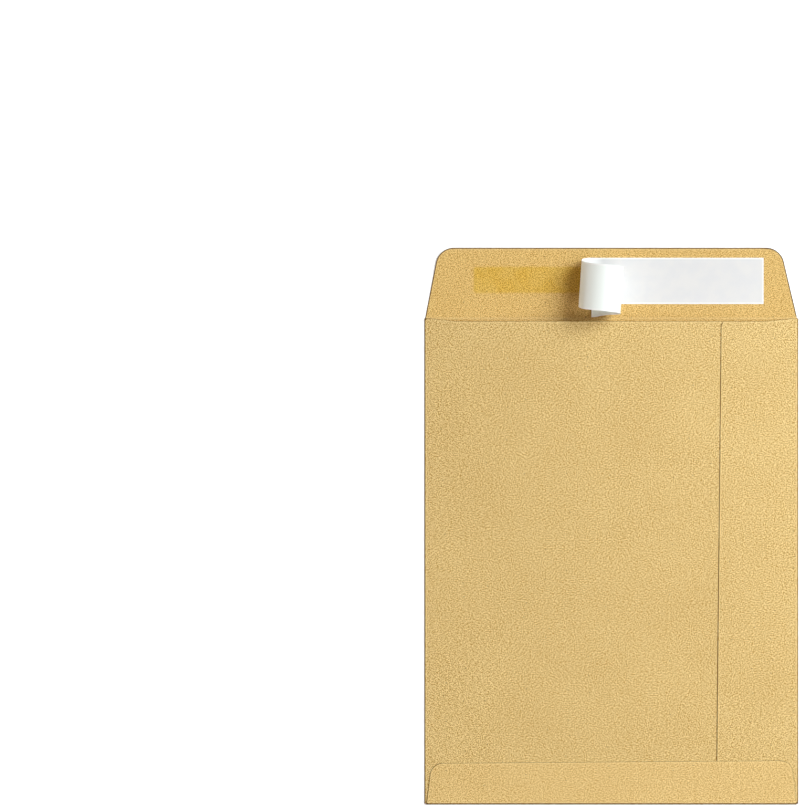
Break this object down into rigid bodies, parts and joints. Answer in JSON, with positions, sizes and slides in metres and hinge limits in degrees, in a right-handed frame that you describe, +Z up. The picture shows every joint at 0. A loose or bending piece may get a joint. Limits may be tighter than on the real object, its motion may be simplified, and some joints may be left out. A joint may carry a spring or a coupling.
{
  "type": "paper envelope",
  "caption": "Open-end brown paper envelope lying on its front, seal flap open, with the release liner half peeled off the adhesive band.",
  "frame": {"origin": "middle of the whole outline, seal flap included, on the surface that the envelope lies on", "axes": "+Y from the bottom fold to the seal flap, +X to the side fold that is nearer the back seam, +Z up out of the back"},
  "size_m": [0.254, 0.3781, 0.0307],
  "materials": {
    "brown_paper": "uncoated brown paper, matte, with a fine speckle of fibres",
    "paper_glue": "dried paper glue",
    "adhesive": "clear amber pressure-sensitive adhesive, glossy",
    "liner_paper": "smooth white release paper with a slight sheen"
  },
  "bodies": {
    "root": {"folded_sheet": "brown_paper", "seam_glue": "paper_glue", "bottom_glue": "paper_glue", "seal_adhesive": "adhesive", "release_liner": "liner_paper"}
  },
  "joints": []
}
